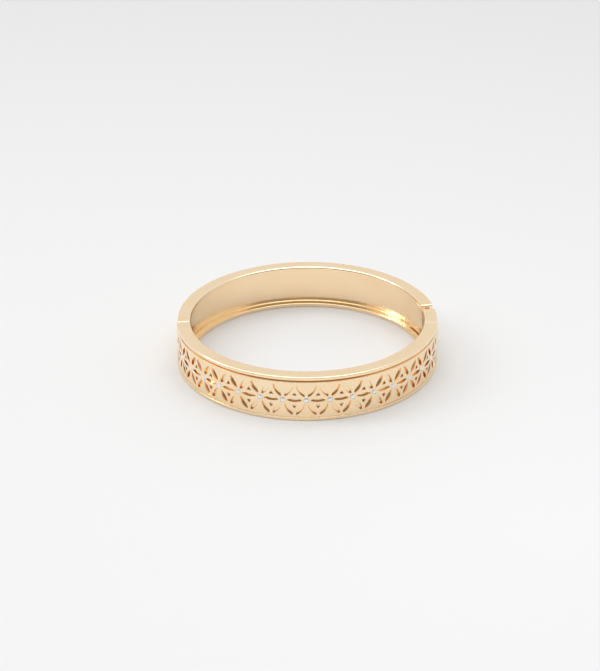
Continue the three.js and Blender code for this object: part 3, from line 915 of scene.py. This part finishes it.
def filigree_panel():
    """The pierced panel, drawn flat as distance along the oval against height, then bent round it."""
    start, end = FRONT_START + STILE + FIT_GAP, FRONT_END - STILE - FIT_GAP
    corners = [(start, PANEL_BASE), (end, PANEL_BASE), (end, PANEL_TOP), (start, PANEL_TOP)]
    outline = Outline([(x, y, PANEL_CORNER) for x, y in corners])
    border, border_normals = outline.points(), outline.normals
    divided, divided_normals = [], []
    for i in range(len(border)):
        following = (i + 1) % len(border)
        count = max(1, round(np.linalg.norm(border[following] - border[i]) / GRID_STEP))
        for k in range(count):
            divided.append(border[i] + (border[following] - border[i]) * k / count)
            divided_normals.append(border_normals[i])
    border, border_normals = np.array(divided), np.array(divided_normals)
    holes = piercings()
    rims = [(border, border_normals, -1, True)]
    rims += [(points, normals, 1, through) for points, normals, through in holes]
    flat, facing, depth, faces, edge_highlights, slots = [], [], [], [], [], []
    total = 0

    def add_ring(places, normals, sunk, front):
        nonlocal total
        flat.append(places)
        facing.append(np.column_stack([normals, np.full(len(places), front)]))
        depth.append(np.full(len(places), sunk))
        # The bevel rings between face and wall carry the painted edge highlight.
        edge_highlights.append(np.full(len(places), float(0 < front < 1)))
        total += len(places)
        return list(range(total - len(places), total))

    loops = []
    for points, normals, side, through in rims:
        rings = [add_ring(*ring) for ring in panel_rings(points, normals, side, through)]
        for number, (upper, lower) in enumerate(zip(rings, rings[1:])):
            for k in range(len(upper)):
                following = (k + 1) % len(upper)
                quad = [upper[k], lower[k], lower[following], upper[following]]
                faces.append(quad if side < 0 else quad[::-1])
                # Rings past the bevel form the walls, which take the second material with its painted
                # shade.
                slots.append(int(number >= EDGE_STEPS))
        if not through:
            faces.append(rings[-1])
            slots.append(1)
        loops.append((rings[0], rings[-1] if through else None))

    inside = grid_inside((start, PANEL_BASE), (end, PANEL_TOP), holes)
    for front in (1, -1):
        chosen = [loop[0] if front > 0 else loop[1] for loop in loops]
        chosen = [loop for loop in chosen if loop is not None]
        middle = add_ring(inside, 0 * inside, 0 if front > 0 else PANEL_THICKNESS, front)
        everything = np.concatenate(flat)
        names = [v for loop in chosen for v in loop] + middle
        rims_here = [everything[loop] for loop in chosen]
        for triangle in panel_face(rims_here[1:], rims_here[0], inside):
            ordered = triangle if front > 0 else triangle[::-1]
            faces.append([names[v] for v in ordered])
            slots.append(int(front < 0))

    flat, facing = np.concatenate(flat), np.concatenate(facing)
    point, outward, along = oval_frame(flat[:, 0])
    offset = PANEL_FACE - np.concatenate(depth)
    positions = point + outward * offset[:, None]
    positions[:, 2] = flat[:, 1]
    up = np.array([0.0, 0.0, 1.0])
    normals = facing[:, :1] * along + facing[:, 1:2] * up + facing[:, 2:] * outward
    return mesh_from(
        "filigree_panel",
        positions,
        faces,
        flat,
        edge=np.concatenate(edge_highlights),
        normals=normals,
        face_slots=slots,
    )


piece(filigree_panel(), "filigree_panel", "front_half", "gold_filigree", gold_face, gold_painted_shade)

# ------------------------------------------------------------ stones


def stone_mesh(distance):
    """A round brilliant: table, star, kite and girdle facets over a foiled pavilion."""

    def ring(count, turn, radius, height):
        angles = (np.arange(count) + turn) * 2 * math.pi / count
        return [(radius * math.cos(a), radius * math.sin(a), height) for a in angles]

    double = 2 * STONE_FOLD
    vertices = ring(STONE_FOLD, 0, *STONE_TABLE) + ring(STONE_FOLD, 0.5, *STONE_STAR)
    vertices += ring(double, 0, *STONE_GIRDLE)
    vertices += ring(double, 0, STONE_GIRDLE[0], STONE_GIRDLE_FOOT)
    vertices += ring(STONE_FOLD, 0.5, *STONE_PAVILION)
    vertices.append((0, 0, STONE_CULET))
    star, crown = STONE_FOLD, 2 * STONE_FOLD
    foot, pavilion, culet = crown + double, crown + 2 * double, len(vertices) - 1
    faces = [list(range(STONE_FOLD))]
    for i in range(STONE_FOLD):
        after, before = (i + 1) % STONE_FOLD, (i - 1) % STONE_FOLD
        middle, following = crown + 2 * i + 1, crown + (2 * i + 2) % double
        faces.append([i, star + i, after])
        faces.append([i, star + before, crown + 2 * i, star + i])
        faces.append([star + i, crown + 2 * i, middle])
        faces.append([star + i, middle, following])
    for i in range(double):
        after = (i + 1) % double
        faces.append([crown + i, foot + i, foot + after, crown + after])
    crystal_faces = len(faces)
    for i in range(STONE_FOLD):
        before = (i - 1) % STONE_FOLD
        middle, following = foot + 2 * i + 1, foot + (2 * i + 2) % double
        faces.append([pavilion + i, middle, foot + 2 * i])
        faces.append([pavilion + i, following, middle])
        faces.append([pavilion + i, foot + 2 * i, pavilion + before, culet])
    mesh = bpy.data.meshes.new("stone")
    mesh.from_pydata(vertices, [], faces)
    point, outward, along = (Vector(v) for v in oval_frame(distance))
    place = Matrix((along, Vector((0, 0, 1)), outward)).transposed().to_4x4()
    place.translation = point + Vector((0, 0, STONE_ROW))
    mesh.transform(place @ Matrix.Rotation(math.pi / 2 / STONE_FOLD, 4, "Z"))
    for index, face in enumerate(mesh.polygons):
        face.material_index = int(index >= crystal_faces)
    return mesh


for stone_node, stone_distance in zip(stone_nodes, stone_distances):
    piece(stone_mesh(stone_distance), stone_node, "front_half", "crystal", crystal, foil)

# ------------------------------------------------------------ hinge

hinge_point = Vector((HINGE_X, HINGE_AXIS_Y, 0))
_, hinge_normal, hinge_tangent = (Vector(v) for v in oval_frame(hinge_at))


def knuckle(side, half, low, high):
    """A barrel on the hinge axis with the neck that ties it to one half of the bangle."""
    limit = math.pi - math.asin(half / BARREL_RADIUS)
    angles = np.linspace(-limit, limit, ROUND_SIDES)
    outline = [(BARREL_RADIUS * math.cos(a), BARREL_RADIUS * math.sin(a)) for a in angles]
    reach = SLOT_HALF + NECK_PAST
    outline += [(-reach, half), (-reach, -half)]
    places = [hinge_point + hinge_tangent * x * side + hinge_normal * y for x, y in outline]
    return prism([(p.x, p.y) for p in places], low, high, KNUCKLE_BEVEL)


def front_hinge_block():
    """The full-section block at the hinge end of the front half, with its tenon and two ears."""
    wall = [
        (0, 0, EDGE_RADIUS),
        (0, HEIGHT, EDGE_RADIUS),
        (-WALL, HEIGHT, TOP_INNER_RADIUS),
        (-WALL, 0, EDGE_RADIUS),
    ]
    body = even_sweep("front_hinge_block", wall, BLOCK_START, BLOCK_END, STEP_EASE, FRONT_SLOT_EASE)
    tenon_start, tenon_end = BLOCK_START - TENON_LENGTH, BLOCK_START + TENON_ROOT
    tenon = even_sweep("tenon", insert_corners(), tenon_start, tenon_end, INSERT_EDGE, INSERT_EDGE)
    ears = [
        knuckle(1, NECK_HALF, KNUCKLE_LOW, TONGUE_LOW - KNUCKLE_GAP),
        knuckle(1, NECK_HALF, TONGUE_TOP + KNUCKLE_GAP, KNUCKLE_TOP),
    ]
    head_room = rod(PIN_HEAD_ROOM, KNUCKLE_TOP - PIN_HEAD_HEIGHT - FIT_GAP, HEIGHT)
    body = boolean(boolean(body, "UNION", tenon), "UNION", *ears)
    return boolean(body, "DIFFERENCE", rod(PIN_HOLE_RADIUS, -MM, HEIGHT + MM), head_room)


def back_hinge_leaf():
    """A leaf against the outer wall of the back shell's hollow, with the middle knuckle."""
    outer = HOLLOW_OFFSET - FIT_GAP
    leaf = [
        (outer, LEAF_LOW, LEAF_EDGE),
        (outer, HEIGHT - LEAF_LOW, LEAF_EDGE),
        (outer - LEAF_THICKNESS, HEIGHT - LEAF_LOW, LEAF_EDGE),
        (outer - LEAF_THICKNESS, LEAF_LOW, LEAF_EDGE),
    ]
    end = BACK_START + LEAF_LENGTH
    body = even_sweep("back_hinge_leaf", leaf, BACK_START, end, LEAF_EDGE, LEAF_EDGE)
    low, high = TONGUE_LOW + KNUCKLE_GAP, TONGUE_TOP - KNUCKLE_GAP
    body = boolean(body, "UNION", knuckle(-1, LEAF_THICKNESS / 2, low, high))
    return boolean(body, "DIFFERENCE", rod(PIN_HOLE_RADIUS, -MM, HEIGHT + MM))


def turned_pin():
    """The hinge pin: a shank with eased ends and a low domed head."""
    head_foot = KNUCKLE_TOP - PIN_HEAD_HEIGHT
    dome = np.linspace(0, math.pi / 2, EASE_STEPS + 1)
    profile = [(0, KNUCKLE_LOW), (PIN_RADIUS - KNUCKLE_BEVEL, KNUCKLE_LOW)]
    profile += [(PIN_RADIUS, KNUCKLE_LOW + KNUCKLE_BEVEL), (PIN_RADIUS, head_foot)]
    profile += [(PIN_HEAD_RADIUS, head_foot)]
    profile += [
        (PIN_HEAD_RADIUS - PIN_DOME * (1 - math.cos(a)), KNUCKLE_TOP - PIN_DOME * (1 - math.sin(a)))
        for a in dome
    ]
    profile.append((0, KNUCKLE_TOP))
    work = bmesh.new()
    rings = []
    for radius, height in profile:
        if radius == 0:
            rings.append([work.verts.new((HINGE_X, HINGE_AXIS_Y, height))])
        else:
            rings.append([work.verts.new((x, y, height)) for x, y in hinge_circle(radius)])
    for lower, upper in zip(rings, rings[1:]):
        for k in range(ROUND_SIDES):
            n = (k + 1) % ROUND_SIDES
            corners = [lower[k % len(lower)], lower[n % len(lower)]]
            corners += [upper[n % len(upper)], upper[k % len(upper)]]
            work.faces.new(list(dict.fromkeys(corners)))
    bmesh.ops.recalc_face_normals(work, faces=work.faces)
    return smooth_mesh(work, bpy.data.meshes.new("hinge_pin"))


cut_piece(front_hinge_block(), "front_hinge_block", "front_half", "gold_plate", gold_plate)
cut_piece(back_hinge_leaf(), "back_hinge_leaf", "back_half", "gold_hollow", gold_hollow)
cut_piece(turned_pin(), "hinge_pin", "front_half", "hinge_steel", pin_metal)

# ------------------------------------------------------------ back shell


def back_shell():
    """The plain back casting."""
    ends = (BACK_START, BACK_END, BACK_SLOT_EASE, CLASP_EASE)
    return even_sweep("back_shell", channel_corners(0), *ends, (*HOLLOW_STRETCH, HOLLOW_SLOT))


piece(back_shell(), "back_shell", "back_half", "gold_plate", gold_plate, gold_hollow)

# ------------------------------------------------------------ clasp


def end_block(end, inwards, length, height, radial, tall, bevel=0.0):
    """A block in the middle of an insert, from a distance along the oval inwards."""
    half, deep = length / 2, radial / 2
    corners = [(-half, -deep), (half, -deep), (half, deep), (-half, deep)]
    mesh = prism(corners, height - tall / 2, height + tall / 2)
    if bevel:
        work = bmesh.new()
        work.from_mesh(mesh)
        edges = work.edges[:]
        bmesh.ops.bevel(work, geom=edges, offset=bevel, segments=3, profile=0.5, affect="EDGES")
        smooth_mesh(work, mesh)
    point, outward, tangent = (Vector(v) for v in oval_frame(end + inwards * half))
    place = Matrix((tangent, -outward, Vector((0, 0, 1)))).transposed().to_4x4()
    place.translation = point + outward * INSERT_MIDDLE
    mesh.transform(place)
    return mesh


magnet_levels = {
    level: sum(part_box(f"back_magnet_{level}"), Vector()).z / 2 for level in ("lower", "upper")
}


def clasp_insert(end, inwards, room, depth):
    """What fills the shell's hollow at the clasp, with pockets for the magnets and the tongue."""
    other = end + inwards * CLASP_INSERT_LENGTH
    body = even_sweep(
        "clasp_insert", insert_corners(), min(end, other), max(end, other), INSERT_EDGE, INSERT_EDGE
    )
    magnet_depth = MAGNET_DEEP + MAGNET_SUNK + FIT_GAP
    magnet_size = (MAGNET_RADIAL + 2 * FIT_GAP, MAGNET_TALL + 2 * FIT_GAP)
    sizes = [(magnet_depth, height, *magnet_size) for height in magnet_levels.values()]
    sizes.append((depth, HEIGHT / 2, LATCH_RADIAL + 2 * room, LATCH_TALL + 2 * room))
    mouth = end - inwards * POCKET_PAST
    pockets = [end_block(mouth, inwards, deep + POCKET_PAST, *size) for deep, *size in sizes]
    return boolean(body, "DIFFERENCE", *pockets)


front_insert = clasp_insert(FRONT_START, 1, FIT_GAP, LATCH_EMBEDDED + FIT_GAP)
back_insert = clasp_insert(BACK_END, -1, LATCH_CLEARANCE, LATCH_REACH + LATCH_CLEARANCE)
cut_piece(front_insert, "front_clasp_insert", "front_half", "gold_hollow", gold_hollow)
cut_piece(back_insert, "back_clasp_insert", "back_half", "gold_hollow", gold_hollow)

tongue_size = (LATCH_EMBEDDED + LATCH_REACH, HEIGHT / 2, LATCH_RADIAL, LATCH_TALL)
tongue = end_block(FRONT_START + LATCH_EMBEDDED, -1, *tongue_size, CLASP_BEVEL)
cut_piece(tongue, "clasp_tongue", "front_half", "gold_hollow", gold_hollow)

for level, height in magnet_levels.items():
    for half, end, inwards in (("front", FRONT_START, 1), ("back", BACK_END, -1)):
        size = (MAGNET_DEEP, height, MAGNET_RADIAL, MAGNET_TALL)
        magnet = end_block(end + inwards * MAGNET_SUNK, inwards, *size, CLASP_BEVEL)
        node = f"{half}_magnet_{level}"
        cut_piece(magnet, node, f"{half}_half", "magnet_nickel", magnet_metal)

# ------------------------------------------------------------ floor and lights

FLOOR_HALF = 3.0
# The floor's colour is a painted pool of light: FLOOR_LIGHT in front of the bangle, falling off to
# FLOOR_DARK.
FLOOR_LIGHT = (0.735, 0.735, 0.735, 1)
FLOOR_DARK = (0.455, 0.455, 0.455, 1)
POOL_REACH = 1.0
POOL_RIGHT = 0.06
POOL_FORWARD = 0.08
FLOOR_ROUGHNESS = 0.8
FLOOR_SPECULAR = 0.1
studio_turn = Matrix.Rotation(CAMERA_AZIMUTH, 3, "Z")


def pale_floor():
    """A plain matt floor with a painted pool of light: lightest in front of the bangle, darker further
    off.
    """
    material, graph = new_material("pale_floor")
    inputs = {
        "Location": studio_turn @ Vector((POOL_RIGHT, -POOL_FORWARD, 0)),
        "Scale": (POOL_REACH, POOL_REACH, POOL_REACH),
        "Vector": graph.places["Object"],
    }
    pool = graph.add("ShaderNodeMapping", inputs, vector_type="TEXTURE")
    inputs = {"Vector": pool.outputs["Vector"]}
    fall = graph.add("ShaderNodeTexGradient", inputs, gradient_type="SPHERICAL")
    graph.fill(graph.shader, {
        "Base Color": graph.mix(fall.outputs["Fac"], FLOOR_DARK, FLOOR_LIGHT),
        "Roughness": FLOOR_ROUGHNESS,
        "Specular IOR Level": FLOOR_SPECULAR,
    })
    mesh = bpy.data.meshes.new("floor")
    corners = [(-FLOOR_HALF, -FLOOR_HALF, 0), (FLOOR_HALF, -FLOOR_HALF, 0)]
    corners += [(FLOOR_HALF, FLOOR_HALF, 0), (-FLOOR_HALF, FLOOR_HALF, 0)]
    mesh.from_pydata(corners, [], [(0, 1, 2, 3)])
    mesh.materials.append(material)
    linked("floor", mesh)


# The studio around the bangle: how bright it is on the whole, on the camera's side and overhead.
# Each ramp says at which cosines to the middle of its side the change begins and ends.
STUDIO_GREY = 0.84
CAMERA_SIDE_GREY = 0.34
CAMERA_SIDE_RAMP = (0.35, 0.6)
OVERHEAD_GREY = 2.4
OVERHEAD_LEAN = 0.1
OVERHEAD_RAMP = (0.78, 0.9)


def studio_world():
    """A soft studio, darker on the camera's side and brightest overhead."""
    world = bpy.data.worlds.new("studio")
    graph = Graph(world, "Background")
    whole = (STUDIO_GREY, STUDIO_GREY, STUDIO_GREY, 1)
    for axis, ramp, grey in (
        ((0, -1, 0), CAMERA_SIDE_RAMP, CAMERA_SIDE_GREY),
        ((0, -OVERHEAD_LEAN, 1), OVERHEAD_RAMP, OVERHEAD_GREY),
    ):
        inputs = {0: graph.places["Generated"], 1: studio_turn @ Vector(axis).normalized()}
        closeness = graph.add("ShaderNodeVectorMath", inputs, operation="DOT_PRODUCT")
        there = graph.remap(closeness.outputs["Value"], 0, 1, *ramp)
        whole = graph.mix(there, whole, (grey, grey, grey, 1))
    graph.fill(graph.shader, {"Color": whole})
    bpy.context.scene.world = world


SOFTBOX_SIDE = (-0.77, 0.04, 0.64)
SOFTBOX_DISTANCE = 0.9
SOFTBOX_WIDTH = 0.16
SOFTBOX_HEIGHT = 0.4
SOFTBOX_WATTS = 1.3


def left_softbox():
    """An area light that looks at the bangle from the camera's left."""
    data = bpy.data.lights.new("left_softbox", "AREA")
    data.shape = "RECTANGLE"
    data.size = SOFTBOX_WIDTH
    data.size_y = SOFTBOX_HEIGHT
    data.energy = SOFTBOX_WATTS
    light = linked("left_softbox", data)
    towards = studio_turn @ Vector(SOFTBOX_SIDE).normalized()
    light.location = towards * SOFTBOX_DISTANCE
    light.rotation_euler = towards.to_track_quat("Z", "Y").to_euler()


pale_floor()
studio_world()
bpy.context.scene.view_settings.view_transform = "Standard"
left_softbox()
